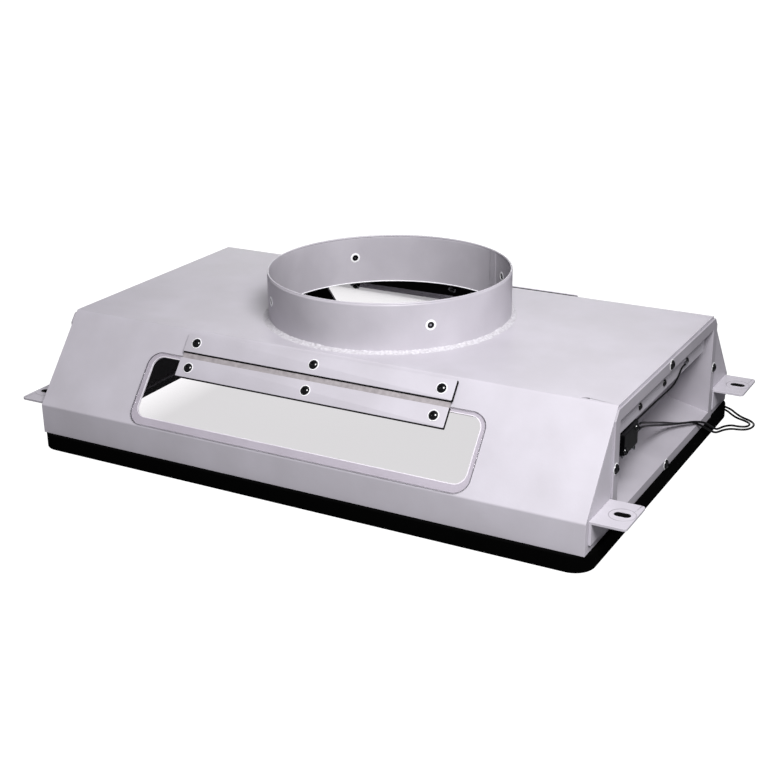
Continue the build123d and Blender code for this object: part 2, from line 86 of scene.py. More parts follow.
def add(tree, kind, inputs=None, **settings):
    """Add one node: settings are its properties, inputs its sockets' values or (node, output) links."""
    node = tree.nodes.new(kind)
    for key, value in settings.items():
        setattr(node, key, value)
    for key, value in (inputs or {}).items():
        if isinstance(value, tuple) and isinstance(value[0], bpy.types.Node):
            tree.links.new(value[0].outputs[value[1]], node.inputs[key])
        else:
            node.inputs[key].default_value = value
    return node


def new_material(name):
    """A material holding only its output node."""
    material = bpy.data.materials.new(name)
    material.use_nodes = True
    material.node_tree.nodes.clear()
    return material, material.node_tree


def finish_material(material, shader, output="BSDF"):
    """Join the shader to the material's surface."""
    tree = material.node_tree
    add(tree, "ShaderNodeOutputMaterial", {"Surface": (shader, output)})
    return material


def speckled(tree, scale, detail, low, high, code_a, code_b, coords):
    """Noise of that scale, ramped from one colour to another."""
    noise = add(tree, "ShaderNodeTexNoise",
                {"Vector": (coords, "Object"), "Scale": scale, "Detail": detail})
    ramp = add(tree, "ShaderNodeValToRGB", {"Fac": (noise, "Fac")})
    ramp.color_ramp.elements[0].position = low
    ramp.color_ramp.elements[0].color = colour(code_a)
    ramp.color_ramp.elements[1].position = high
    ramp.color_ramp.elements[1].color = colour(code_b)
    return noise, ramp


def coated_sheet(name, code_a, code_b, roughness=0.48, peel=0.10):
    """Polyester powder coat sprayed on folded steel: a satin skin with fine orange peel. The peel is
    about 1 mm on the real sheet and is drawn at 2 mm so that it shows."""
    material, tree = new_material(name)
    coords = add(tree, "ShaderNodeTexCoord")
    noise, ramp = speckled(tree, 26.0, 4.0, 0.35, 0.7, code_a, code_b, coords)
    peel_noise = add(tree, "ShaderNodeTexNoise",
                     {"Vector": (coords, "Object"), "Scale": 520.0, "Detail": 2.0, "Roughness": 0.6})
    bump = add(tree, "ShaderNodeBump",
               {"Height": (peel_noise, "Fac"), "Strength": peel, "Distance": 0.0004})
    rough = add(tree, "ShaderNodeMapRange",
                {"Value": (noise, "Fac"), "To Min": roughness - 0.04, "To Max": roughness + 0.05})
    shader = add(tree, "ShaderNodeBsdfPrincipled",
                 {"Base Color": (ramp, "Color"), "Roughness": (rough, "Result"), "Normal": (bump, "Normal"),
                  "IOR": 1.5})
    return finish_material(material, shader)


def moulded(name, code_a, code_b, roughness, grain_scale, grain, ior=1.5, specular=0.5):
    """Rubber or plastic as it comes out of a mould: one dark or pale tone with a fine grain."""
    material, tree = new_material(name)
    coords = add(tree, "ShaderNodeTexCoord")
    noise, ramp = speckled(tree, grain_scale * 0.2, 3.0, 0.3, 0.75, code_a, code_b, coords)
    grains = add(tree, "ShaderNodeTexNoise",
                 {"Vector": (coords, "Object"), "Scale": grain_scale, "Detail": 3.0})
    bump = add(tree, "ShaderNodeBump",
               {"Height": (grains, "Fac"), "Strength": grain, "Distance": 0.0003})
    rough = add(tree, "ShaderNodeMapRange",
                {"Value": (noise, "Fac"), "To Min": roughness - 0.05, "To Max": roughness + 0.05})
    shader = add(tree, "ShaderNodeBsdfPrincipled",
                 {"Base Color": (ramp, "Color"), "Roughness": (rough, "Result"), "Normal": (bump, "Normal"),
                  "IOR": ior, "Specular IOR Level": specular})
    return finish_material(material, shader)


def bare_metal(name, code_a, code_b, roughness):
    """Plated or polished metal: a metallic skin with faint handling marks about 1 mm across."""
    grain_scale, grain = 900.0, 0.05
    material, tree = new_material(name)
    coords = add(tree, "ShaderNodeTexCoord")
    noise, ramp = speckled(tree, grain_scale * 0.3, 3.0, 0.3, 0.7, code_a, code_b, coords)
    marks = add(tree, "ShaderNodeTexNoise",
                {"Vector": (coords, "Object"), "Scale": grain_scale, "Detail": 2.0})
    bump = add(tree, "ShaderNodeBump",
               {"Height": (marks, "Fac"), "Strength": grain, "Distance": 0.0001})
    rough = add(tree, "ShaderNodeMapRange",
                {"Value": (noise, "Fac"), "To Min": roughness * 0.8, "To Max": roughness * 1.25})
    shader = add(tree, "ShaderNodeBsdfPrincipled",
                 {"Base Color": (ramp, "Color"), "Roughness": (rough, "Result"), "Normal": (bump, "Normal"),
                  "Metallic": 1.0})
    return finish_material(material, shader)


def clear_sheet():
    """Clear acrylic sheet: light goes straight through, and the faces mirror a little more towards
    grazing. Cast sheet is flat, so its only marks are faint wipe streaks along its length."""
    material, tree = new_material("clear_acrylic_sheet")
    coords = add(tree, "ShaderNodeTexCoord")
    stretch = add(tree, "ShaderNodeMapping", {"Vector": (coords, "Object"), "Scale": (6.0, 90.0, 90.0)})
    streaks = add(tree, "ShaderNodeTexNoise",
                  {"Vector": (stretch, "Vector"), "Scale": 3.0, "Detail": 3.0})
    rough = add(tree, "ShaderNodeMapRange",
                {"Value": (streaks, "Fac"), "To Min": 0.02, "To Max": 0.12})
    gloss = add(tree, "ShaderNodeBsdfPrincipled",
                {"Base Color": colour("#EDEBF0"), "Roughness": (rough, "Result"), "Metallic": 1.0})
    through = add(tree, "ShaderNodeBsdfTransparent", {"Color": colour("#FBFAFB")})
    edge = add(tree, "ShaderNodeLayerWeight", {"Blend": 0.10})
    share = add(tree, "ShaderNodeMapRange", {"Value": (edge, "Fresnel"), "To Min": 0.02, "To Max": 0.7})
    mix = add(tree, "ShaderNodeMixShader", {"Fac": (share, "Result")})
    tree.links.new(through.outputs["BSDF"], mix.inputs[1])
    tree.links.new(gloss.outputs["BSDF"], mix.inputs[2])
    return finish_material(material, mix, "Shader")


COAT = coated_sheet("powder_coated_steel", "#BAB6BE", "#C2BEC7")
COLLAR_COAT = coated_sheet("powder_coated_collar", "#B4B0B8", "#BEBAC2", roughness=0.36)
# The trays take the cover's powder coat made darker: painted shade for the recesses at the ends.
TRAY_PAINTED_SHADE_COAT = coated_sheet("powder_coated_tray", "#A5A1A9", "#AFABB3", roughness=0.40)
# Painted shade: the faces that look into the hood are painted near black for the dark, unlit inside of the
# hood.
INNER_PAINTED_SHADE = moulded("painted_shade_black_inner", "#0A0706", "#160F0C", 0.8, 500.0, 0.3, specular=0.12)
# Painted highlight: a near-white finish on the cut edges round the window openings, on a ring round each
# opening and on a ring at the foot of the collar's inner wall.
PAINTED_HIGHLIGHT = coated_sheet("painted_highlight_edge", "#F2F0F6", "#FBFAFD", roughness=0.3, peel=0.04)
SEALANT = moulded("smeared_sealant", "#B6B2B8", "#D6D4DA", 0.6, 2600.0, 1.0)
RUBBER = moulded("black_cellular_rubber", "#010101", "#020202", 0.9, 900.0, 0.3, specular=0.03)
# Black rubber for the strips and packers under the bars; the same black lines each tab slot as painted
# shade.
STRIP = moulded("black_rubber_and_painted_slot_shade", "#020203", "#060607", 0.75, 900.0, 0.3, specular=0.15)
BAND = moulded("grey_hinge_fabric", "#8F898C", "#A8A2A5", 0.7, 1300.0, 0.5)
CLEAR = clear_sheet()
CLEAR_EDGE = moulded("sawn_acrylic_edge", "#4C4A50", "#66646A", 0.35, 900.0, 0.3)
# Painted shade: the hinge band's face towards the inside of the hood is painted dark brown for the unlit
# inside.
BAND_BACK_PAINTED_SHADE = moulded("painted_shade_band_back", "#17110F", "#2C2420", 0.8, 1300.0, 0.3, specular=0.15)
SCREW = moulded("black_lacquered_screw", "#020204", "#07070B", 0.12, 900.0, 0.02, ior=1.6)
WASHER = moulded("white_nylon_washer", "#F1F0F4", "#FBFBFD", 0.5, 900.0, 0.05)
NUT = bare_metal("zinc_plated_nut", "#A8A9AE", "#C3C4C9", 0.30)
SPRING = bare_metal("bright_spring_steel", "#B9BBC0", "#D2D4D8", 0.22)
BRASS = bare_metal("tinned_brass", "#B9A779", "#D0C296", 0.3)
BLACK = moulded("black_phenolic", "#020203", "#070709", 0.34, 1200.0, 0.25, specular=0.14)
# Black vinyl for the blade sleeves; the same black plugs the collar's holes as painted shade.
SLEEVE = moulded("black_vinyl_and_painted_hole_shade", "#040405", "#0B0B0D", 0.32, 1200.0, 0.15, specular=0.3)
WIRE = moulded("black_wire_vinyl", "#020203", "#060608", 0.34, 1500.0, 0.1, specular=0.22)
PALE = moulded("ivory_nylon", "#C9C6BE", "#D8D5CD", 0.45, 900.0, 0.2)
# A thin raised ring round each tab slot, in a grey darker than the coat.
MARK = coated_sheet("darker_slot_ring", "#77737A", "#C4C0C8")


# --- mesh building --------------------------------------------------------------------------------
ARC_POINTS = 10                 # along a rounded corner
LOOP = 4 * ARC_POINTS           # round a rounded rectangle
MERGE = 2e-6                    # points nearer than this are one
SHARP = 28.0                    # degrees between faces past which an edge of a CAD node is eased


def mesh_piece(name, points, faces, material, body, slot, sharp=35.0):
    """Points and faces as arrays or lists become one piece on a body, its normals outwards. A piece
    with no body is left unattached."""
    mesh = bpy.data.meshes.new(name)
    mesh.from_pydata(np.asarray(points, float).tolist(), [], [list(map(int, f)) for f in faces])
    bm = bmesh.new()
    bm.from_mesh(mesh)
    bmesh.ops.remove_doubles(bm, verts=bm.verts, dist=MERGE)
    bmesh.ops.recalc_face_normals(bm, faces=bm.faces)
    bm.to_mesh(mesh)
    bm.free()
    mesh.shade_smooth()
    mesh.set_sharp_from_angle(angle=radians(sharp))
    piece = bpy.data.objects.new(name, mesh)
    bpy.context.scene.collection.objects.link(piece)
    mesh.materials.append(material)
    if body:
        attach(piece, body)
    return piece


def grid_faces(rows, columns, wrap_rows=False, wrap_columns=False, first=0):
    """Quads of a grid of points stored row by row, closed round either way."""
    i = np.arange(rows if wrap_rows else rows - 1)[:, None]
    j = np.arange(columns if wrap_columns else columns - 1)[None, :]
    a = i * columns + j
    b = i * columns + (j + 1) % columns
    c = ((i + 1) % rows) * columns + (j + 1) % columns
    d = ((i + 1) % rows) * columns + j
    return np.stack(np.broadcast_arrays(a, b, c, d), -1).reshape(-1, 4) + first


def rounded_rectangle(width, height, corner, inset):
    """Points round a rectangle centred on zero, with quarter-circle corners, moved in by inset."""
    turn = np.linspace(0, pi / 2, ARC_POINTS)
    radius = max(corner - inset, 1e-5)
    quarters = []
    for k, (sx, sy) in enumerate(((1, 1), (-1, 1), (-1, -1), (1, -1))):
        angle = turn + k * pi / 2
        x = sx * (width / 2 - corner) + radius * np.cos(angle)
        y = sy * (height / 2 - corner) + radius * np.sin(angle)
        quarters.append(np.stack([x, y], -1))
    return np.concatenate(quarters)


def rounded_plate(width, height, corner, low, high, edge):
    """A flat plate in local X and Y from level low to high: rounded-rectangle loops stacked up with a
    quarter-circle easing of radius edge at both rims, closed by one flat face each side."""
    turn = np.linspace(0, pi / 2, 4)
    insets = np.concatenate([edge * (1 - np.sin(turn)), edge * (1 - np.cos(turn))])
    levels = np.concatenate([low + edge * (1 - np.cos(turn)), high - edge * (1 - np.sin(turn))])
    loops = [np.column_stack([rounded_rectangle(width, height, corner, i),
                              np.full(LOOP, z)]) for i, z in zip(insets, levels)]
    points = np.concatenate(loops)
    count = len(loops)
    faces = grid_faces(count, LOOP, wrap_columns=True).tolist()
    faces.append(list(range(LOOP - 1, -1, -1)))
    faces.append(list(range((count - 1) * LOOP, count * LOOP)))
    return points, faces


def lathe(profile, segments):
    """A closed profile of (radius, height) turned about Z; a radius of zero closes on the axis."""
    profile = np.asarray(profile, float)
    turn = np.arange(segments) * 2 * pi / segments
    points = np.stack([profile[:, 0:1] * np.cos(turn), profile[:, 0:1] * np.sin(turn),
                       np.repeat(profile[:, 1:2], segments, 1)], -1).reshape(-1, 3)
    return points, grid_faces(len(profile), segments, True, True)


def joined(shapes):
    """Several (points, faces) as one."""
    points, faces, first = [], [], 0
    for p, f in shapes:
        points.append(np.asarray(p, float))
        faces += [[v + first for v in face] for face in (f.tolist() if isinstance(f, np.ndarray) else f)]
        first += len(p)
    return np.concatenate(points), faces


def faces_of(mesh):
    """Each face's centre and normal, as two arrays."""
    centres, normals = np.empty(len(mesh.polygons) * 3), np.empty(len(mesh.polygons) * 3)
    mesh.polygons.foreach_get("center", centres)
    mesh.polygons.foreach_get("normal", normals)
    return centres.reshape(-1, 3), normals.reshape(-1, 3)


def repaint(mesh, material, chosen):
    """Give the chosen faces another finish."""
    index = np.empty(len(mesh.polygons), np.int32)
    mesh.polygons.foreach_get("material_index", index)
    mesh.materials.append(material)
    index[chosen] = len(mesh.materials) - 1
    mesh.polygons.foreach_set("material_index", index)


slot_of = {row["node"]: row["material_slot"] for row in frame["record"]["subparts"]}


def softened(node, material, edge=0.00025, segments=2, repaints=()):
    """A merged copy of a CAD node with eased edges and smooth curves, standing for the node. Each
    repaint is a finish and a function of the faces' centres and normals that picks its faces."""
    source = nodes[node]
    mesh = source.data.copy()
    mesh.name = node + "_skin"
    mesh.materials.clear()
    mesh.materials.append(material)
    if "custom_normal" in mesh.attributes:
        mesh.attributes.remove(mesh.attributes["custom_normal"])
    bm = bmesh.new()
    bm.from_mesh(mesh)
    bmesh.ops.remove_doubles(bm, verts=bm.verts, dist=MERGE)
    bmesh.ops.dissolve_limit(bm, angle_limit=radians(0.6), verts=bm.verts, edges=bm.edges)
    bm.to_mesh(mesh)
    bm.free()
    for other, picks in repaints:
        repaint(mesh, other, picks(*faces_of(mesh)))
    mesh.shade_smooth()
    mesh.set_sharp_from_angle(angle=radians(SHARP))
    piece = bpy.data.objects.new(node + "_skin", mesh)
    bpy.context.scene.collection.objects.link(piece)
    if edge:
        bevel = piece.modifiers.new("eased", "BEVEL")
        bevel.width = edge
        bevel.segments = segments
        bevel.limit_method = "ANGLE"
        bevel.angle_limit = radians(SHARP)
        bevel.use_clamp_overlap = False
        bevel.harden_normals = True
    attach(piece, source["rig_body"])
    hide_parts(node)
    return piece


# --- camera ---------------------------------------------------------------------------------------
camera_data = bpy.data.cameras.new("camera")
camera_data.lens = 64.894
camera_data.sensor_fit = "HORIZONTAL"
camera_data.sensor_width = 36.0
camera = bpy.data.objects.new("camera", camera_data)
right = Vector((0.8747, 0.48448, -0.01342))
up = Vector((-0.16396, 0.32185, 0.93249))
back = Vector((0.45609, -0.81344, 0.36096))
facing = Matrix((right, up, back)).transposed().to_4x4()
camera.matrix_world = Matrix.Translation((0.539, -0.96451, 0.46352)) @ facing
camera_data.clip_start = 0.05
camera_data.clip_end = 60.0
bpy.context.scene.collection.objects.link(camera)
bpy.context.scene.camera = camera

# --- leads ----------------------------------------------------------------------------------------
LEAD_DIAMETER = 1.8
lead_a_route = [
    (234.55, -57.3, 67.95), (234.55, -48.0, 67.95), (233.4, -34.0, 62.6), (231.4, -14.0, 54.9),
    (229.6, 8.0, 46.4), (228.6, 30.0, 38.2), (230.4, 47.0, 31.6), (234.4, 60.0, 27.6),
    (240.2, 71.0, 26.2), (245.8, 83.0, 22.2), (247.8, 96.0, 14.0), (247.6, 109.0, 7.0),
    (247.0, 121.0, 2.3), (248.2, 131.2, 0.95), (253.2, 137.6, 0.95), (260.2, 137.2, 0.95),
    (266.8, 140.2, 0.95), (267.2, 147.8, 0.95), (260.8, 152.4, 0.95), (253.8, 155.0, 0.95),
    (247.4, 160.6, 0.95), (240.5, 168.8, 0.95), (229.5, 174.6, 0.95), (214.0, 176.2, 0.95),
    (196.0, 175.4, 0.95), (176.0, 177.75, 0.95), (158.0, 177.75, 0.95),
]
lead_b_route = [
    (234.55, -57.3, 63.15), (234.55, -48.0, 63.15), (232.2, -34.0, 59.0), (229.0, -14.0, 51.8),
    (226.8, 8.0, 43.6), (225.6, 30.0, 35.4), (227.4, 49.0, 29.2), (232.6, 63.0, 26.2),
    (239.0, 74.0, 24.6), (245.2, 84.0, 17.6), (248.0, 96.0, 10.0), (248.4, 107.0, 4.6),
    (248.6, 116.5, 1.6), (250.8, 124.6, 0.95), (256.0, 130.0, 0.95), (262.0, 130.8, 0.95),
    (267.6, 133.4, 0.95), (270.8, 139.8, 0.95), (270.6, 148.2, 0.95), (265.2, 154.6, 0.95),
    (258.0, 158.0, 0.95), (250.8, 163.8, 0.95), (242.4, 173.8, 0.95), (230.0, 179.2, 0.95),
    (213.0, 180.6, 0.95), (196.0, 179.4, 0.95), (176.0, 180.25, 0.95), (158.0, 180.25, 0.95),
]


def lead(name, node, route):
    """A lead is a smooth spline drawn by its route's points, with a round section."""
    curve = bpy.data.curves.new(name, "CURVE")
    curve.dimensions = "3D"
    curve.resolution_u = 12
    curve.bevel_depth = LEAD_DIAMETER / 2 * MM
    curve.bevel_resolution = 4
    curve.use_fill_caps = True
    spline = curve.splines.new("NURBS")
    spline.points.add(len(route) - 1)
    spline.points.foreach_set("co", [v for x, y, z in route for v in (x * MM, y * MM, z * MM, 1.0)])
    spline.order_u = 3
    spline.use_endpoint_u = True
    curve.materials.append(WIRE)
    piece = bpy.data.objects.new(name, curve)
    bpy.context.scene.collection.objects.link(piece)
    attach(piece, "hood")
    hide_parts(node)


plug = softened("lead_plug", PALE, edge=0.0003)
lead("lead_a", "lead_wire_a", lead_a_route)
lead("lead_b", "lead_wire_b", lead_b_route)

# --- folded sheet ---------------------------------------------------------------------------------
SLOPE = radians(51.132)
FOLD_Z = 37.5 * MM          # the lower fold, where the slope starts
HALF_WIDTH = 164 * MM       # to the outside of an apron
HALF = 239.5 * MM           # to the outside of the folded cover's end
SHEET = 1.5 * MM
UNDER_TOP = 100 * MM        # between the tops of the window openings and the hood's top
RECESS_DEPTH = 17 * MM      # from the cover's end to the middle of a tray's recess
RECESS_Z = 60 * MM


def inside_cover(centres, normals):
    """Faces of the folded cover that look into the hood: under the top, the slopes and the aprons."""
    side = np.sign(centres[:, 1])
    under_top = (normals[:, 2] < -0.7) & (centres[:, 2] > UNDER_TOP)
    under_slope = normals[:, 1] * side * sin(SLOPE) + normals[:, 2] * cos(SLOPE) < -0.9
    behind_apron = normals[:, 1] * side < -0.9
    return under_top | under_slope | behind_apron


def window_edge(centres, normals):
    """The sawn edge round each window opening: faces square to the slope, within it."""
    side = np.sign(centres[:, 1])
    outwards = normals[:, 1] * side * sin(SLOPE) + normals[:, 2] * cos(SLOPE)
    up_slope = (HALF_WIDTH - centres[:, 1] * side) * cos(SLOPE) + (centres[:, 2] - FOLD_Z) * sin(SLOPE)
    within = (up_slope > 7 * MM) & (up_slope < 61 * MM) & (np.abs(centres[:, 0]) < 147 * MM)
    return within & (np.abs(outwards) < 0.3) & (centres[:, 2] < UNDER_TOP)


def inside_end(centres, normals):
    """Faces of an end plate that look into the hood."""
    return (normals[:, 0] * np.sign(centres[:, 0]) < -0.9) & (np.abs(centres[:, 0]) > HALF - 2 * SHEET)


def outside_recess(centres, normals):
    """Faces of a recessed tray that look into the hood: they point away from the recess's middle."""
    middle = np.stack([np.sign(centres[:, 0]) * (HALF - RECESS_DEPTH), 0 * centres[:, 0],
                       np.full(len(centres), RECESS_Z)], -1)
    away = ((centres - middle) * normals).sum(1) > 0
    return away & (np.abs(centres[:, 0]) < HALF - 0.5 * SHEET)


# The cut edges round the window openings get the near-white finish, a painted highlight.
# The faces that look into the hood, on the cover, the end plates and the trays, are painted near black as
# painted shade.
softened("hood_cover", COAT, repaints=((INNER_PAINTED_SHADE, inside_cover), (PAINTED_HIGHLIGHT, window_edge)))
for end_name in ("right", "left"):
    softened(f"end_plate_{end_name}", COAT, repaints=((INNER_PAINTED_SHADE, inside_end),))
    softened(f"end_tray_{end_name}", TRAY_PAINTED_SHADE_COAT, repaints=((INNER_PAINTED_SHADE, outside_recess),))
    for side_name in ("front", "back"):
        softened(f"tab_{side_name}_{end_name}", COAT)
softened("wiring_rail", COAT)
softened("switch_bracket", COAT)
softened("rubber_frame", RUBBER, edge=0.0008, segments=3)

# --- duct collar ----------------------------------------------------------------------------------
COLLAR_HEIGHT = 39.6 * MM   # the rim, above the hood's top
COLLAR_RADIUS = 99.4 * MM   # to the middle of the wall
COLLAR_WALL = 1.2 * MM
WALL_FOOT = -2.7 * MM       # the wall's lower edge, below the top
WALL_TOP = 38.6 * MM        # where the wall runs into the rim's round
HOLE_UP = 20.5 * MM         # the screw holes, above the top
HOLE_RADIUS = 2.75 * MM
DEGREES = 360               # columns of the wall's grid
collar_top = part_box("duct_collar")[1].z
z_top = collar_top - COLLAR_HEIGHT
hole_angles = [47 + 90 * k for k in range(4)]


def collar_wall():
    """The wall is a grid of one degree by about 1.7 mm on a cylinder. Round each hole the cells are
    pulled, ring by ring, from their square outline onto a circle, and the last ring is the hole."""
    below, under_hole, above_hole = 2, 12, 11       # cells up the wall
    reach = 4                                       # cells from a hole's middle to its outline
    across = 2 * reach
    ring_count = 6
    rows = np.concatenate([np.linspace(WALL_FOOT, 0, below + 1)[:-1],
                           np.linspace(0, HOLE_UP, under_hole + 1)[:-1],
                           np.linspace(HOLE_UP, WALL_TOP, above_hole + 1)])
    middle = below + under_hole
    angles = np.radians(np.arange(float(DEGREES)))
    grid = np.stack(np.meshgrid(angles, rows, indexing="xy"), -1)
    faces = grid_faces(len(rows), DEGREES, False, True)
    kept = np.ones(len(faces), bool)
    cell_row, cell_column = np.divmod(np.arange(len(faces)), DEGREES)
    shapes = []
    for angle in hole_angles:
        near_row = (cell_row >= middle - reach) & (cell_row < middle + reach)
        near_column = ((cell_column - (angle - reach)) % DEGREES) < across
        kept &= ~(near_row & near_column)
        side = np.arange(across)
        near, far = np.zeros(across, int), np.full(across, across)
        i = np.concatenate([side, far, across - side, near])
        j = np.concatenate([near, side, far, across - side])
        outline = np.stack([np.radians(angle - reach + i), rows[middle - reach + j]], -1)
        centre = np.array([radians(angle), HOLE_UP])
        flat = (outline - centre) * np.array([COLLAR_RADIUS, 1.0])
        around = np.arctan2(flat[:, 1], flat[:, 0])
        circle = HOLE_RADIUS * np.stack([np.cos(around), np.sin(around)], -1)
        share = np.linspace(0, 1, ring_count)[:, None, None]
        rings = (flat * (1 - share) + circle * share) / np.array([COLLAR_RADIUS, 1.0]) + centre
        shapes.append((rings.reshape(-1, 2), grid_faces(ring_count, len(outline), False, True)))
    shapes.append((grid.reshape(-1, 2), faces[kept]))
    points, faces = joined(shapes)
    turn, height = points[:, 0], points[:, 1]
    wave = 0.12 * MM * np.sin(3 * turn + 0.6) * np.clip(height / (38 * MM), 0, 1)
    out = COLLAR_RADIUS + wave
    return np.stack([out * np.cos(turn), out * np.sin(turn), z_top + height], -1), faces


wall_points, wall_faces = collar_wall()
wall = mesh_piece("collar_wall", wall_points, wall_faces, COLLAR_COAT, "hood", slot_of["duct_collar"])
thick = wall.modifiers.new("thickness", "SOLIDIFY")
thick.thickness = COLLAR_WALL
thick.offset = 0.0
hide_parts("duct_collar")

turn = np.linspace(0, 2 * pi, 24, endpoint=False)
rim = np.stack([(99.25 + 0.75 * np.cos(turn)) * MM, collar_top - 0.95 * MM + 0.95 * MM * np.sin(turn)], -1)
mesh_piece("collar_rim", *lathe(rim, DEGREES), COLLAR_COAT, "hood", slot_of["duct_collar"])


def collar_seam():
    """The lap of the rolled wall: a strip on the inside whose thickness rises from nothing to 0.25 mm
    over its first and last millimetre, carried up the wall."""
    across = np.array([-5.0, -4.6, -4.0, -2.0, 0.0, 2.0, 4.0, 4.6, 5.0])
    rise = 0.3 * np.array([0.0, 0.55, 0.8, 0.85, 0.85, 0.85, 0.8, 0.55, 0.0])
    heights = np.linspace(z_top - 1.5 * MM, collar_top - 0.4 * MM, 12)
    angle = radians(56.5) + across / 98.8
    section = np.concatenate([np.stack([angle, (98.75 - rise) * MM], -1),
                              np.stack([angle[::-1], np.full(len(angle), 98.9 * MM)], -1)])
    turn, radius = section.T
    count, rows = len(section), len(heights)
    flat = np.stack([radius * np.cos(turn), radius * np.sin(turn)], -1)
    points = np.concatenate([np.column_stack([flat, np.full(count, z)]) for z in heights])
    faces = grid_faces(rows, count, False, True).tolist()
    faces.append(list(range(count - 1, -1, -1)))
    faces.append(list(range((rows - 1) * count, rows * count)))
    return points, faces


mesh_piece("collar_seam", *collar_seam(), COLLAR_COAT, "hood", slot_of["duct_collar"])

# A thin ring at the foot of the collar's inner wall, in the near-white finish that is a painted highlight.
lip_turn = np.linspace(0, 2 * pi, 12, endpoint=False)
lip = np.stack([(98.8 + 0.5 * np.cos(lip_turn)) * MM, z_top - 2.3 * MM + 0.5 * MM * np.sin(lip_turn)], -1)
mesh_piece("collar_lower_highlight", *lathe(lip, 240), PAINTED_HIGHLIGHT, "hood", slot_of["duct_collar"])


def radial(profile, angle):
    """A closed profile turned about the axis of one of the wall's holes, pointing outwards."""
    out = np.array([cos(radians(angle)), sin(radians(angle)), 0.0])
    place = out * COLLAR_RADIUS + np.array([0, 0, z_top + HOLE_UP])
    return placed(lathe(np.array(profile) * MM, 32), place, out)


# What sits in a collar hole, as (radius, level out of the wall): a pale rim on each face of the
# wall, a black plug through it that is painted shade for the dark hole, and a bright eye in the plug.
RIM_PROFILE = ((2.7, 0.4), (4.1, 0.5), (4.3, 0.7), (4.0, 0.85), (2.7, 0.85))
BORE_PROFILE = ((0.9, 0.45), (0.9, -0.5), (2.85, -0.5), (2.85, 0.45))
EYE_PROFILE = ((0.0, -0.3), (0.0, 0.3), (0.92, 0.3), (0.92, -0.3))


def sealant_bead():
    """A smeared bead: a low crown on a ring, its width and height made of waves round the collar
    with seeded phases, long ones as a hand-laid bead swells and short ones for its crumbs."""
    count = 1440
    turn = np.arange(count) * 2 * pi / count
    orders = np.array([3, 7, 11, 19, 31, 47, 83, 131, 197, 271])
    sizes = np.array([0.4, 0.4, 0.35, 0.3, 0.3, 0.3, 0.3, 0.3, 0.3, 0.25])

    def waves():
        """The sum of all the waves round the collar, each with a phase of its own."""
        phases = rng.uniform(0, 2 * pi, len(orders))[:, None]
        return (sizes[:, None] * np.sin(orders[:, None] * turn + phases)).sum(0)

    width = np.minimum(5.0 + 0.5 * waves(), 7.0) * MM
    height = np.minimum(2.3 + 0.35 * waves(), 3.4) * MM
    share = np.linspace(0, 1, 9)
    crown = (1 - share) ** 1.4
    inner = 99.6 * MM
    out = inner + share[:, None] * width[None, :]
    level = z_top + crown[:, None] * height[None, :]
    level[-1] = z_top - 0.05 * MM
    points = np.stack([out * np.cos(turn), out * np.sin(turn), level], -1)
    base = np.stack([inner * np.cos(turn), inner * np.sin(turn), np.full(count, z_top - 0.05 * MM)], -1)
    points = np.concatenate([points.reshape(-1, 3), base])
    return points, grid_faces(len(share) + 1, count, True, True)


bead = mesh_piece("collar_bead_skin", *sealant_bead(), SEALANT, "hood", slot_of["collar_bead"], sharp=60)
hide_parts("collar_bead")

# --- fasteners ------------------------------------------------------------------------------------
def button_head(radius, height, socket, shank, reach):
    """A button head about local Z, its seat at zero: a dome r = radius * cos(t) and
    z = height * sin(t) on a seat a little wider, both scaled to full size at the dome's ends, a
    six-sided socket down its middle, and a round shank below."""
    start, end = 0.12, 1.18
    dome = np.linspace(start, end, 9)
    round_radii = np.concatenate([[0, shank, shank, radius * 1.02], radius * np.cos(dome) / cos(start)])
    levels = np.concatenate([[-reach, -reach, 0, 0], height * np.sin(dome) / sin(end)])
    segments = 36
    turn = np.arange(segments) * 2 * pi / segments
    rings = [np.stack([r * np.cos(turn), r * np.sin(turn), np.full(segments, z)], -1)
             for r, z in zip(round_radii, levels)]
    six = socket / np.cos((turn + pi / 6) % (pi / 3) - pi / 6)
    for r, z in ((six, levels[-1]), (six * 0.97, height * 0.45), (six * 0, height * 0.35)):
        rings.append(np.stack([r * np.cos(turn), r * np.sin(turn), np.full(segments, z)], -1))
    return np.concatenate(rings) * MM, grid_faces(len(rings), segments, False, True)


def placed(shape, origin, along):
    """A shape made about Z moved to an origin with its Z turned to a direction."""
    turn = np.array(Vector(along).to_track_quat("Z", "Y").to_matrix())
    return shape[0] @ turn.T + np.array(origin), shape[1]


def screw_piece(name, places, along, sizes, node):
    """Screws of one size in one piece, each turned by another angle about its own axis. The larger
    size has a white washer under each head, in a piece of its own."""
    shapes = []
    for k, place in enumerate(places):
        points, faces = button_head(*sizes)
        a = 0.37 + 1.3 * k
        about = np.array([[cos(a), -sin(a), 0], [sin(a), cos(a), 0], [0, 0, 1]])
        shapes.append(placed((points @ about.T, faces), place, along))
    body, slot = nodes[node]["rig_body"], slot_of[node]
    piece = mesh_piece(name, *joined(shapes), SCREW, body, slot, sharp=40)
    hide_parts(node)
    head = sizes[0]
    if head < M4[0]:
        return
    ring = np.array([(head - 0.4, 0.02), (head + 0.5, 0.02), (head + 0.7, 0.15), (head + 0.6, 0.3),
                     (head - 0.4, 0.32)]) * MM
    washers = [placed(lathe(ring, 40), place, along) for place in places]
    mesh_piece(name.replace("heads", "washers"), *joined(washers), WASHER, body, slot)


mirrored = [(r, -z) for r, z in RIM_PROFILE]
for name, material, profiles in (("collar_hole_rims", WASHER, (RIM_PROFILE, mirrored)),
                                 ("collar_hole_bushes", SLEEVE, (BORE_PROFILE,)),
                                 ("collar_hole_eyes", NUT, (EYE_PROFILE,))):
    turned = [radial(profile, angle) for profile in profiles for angle in hole_angles]
    mesh_piece(name, *joined(turned), material, "hood", slot_of["duct_collar"])

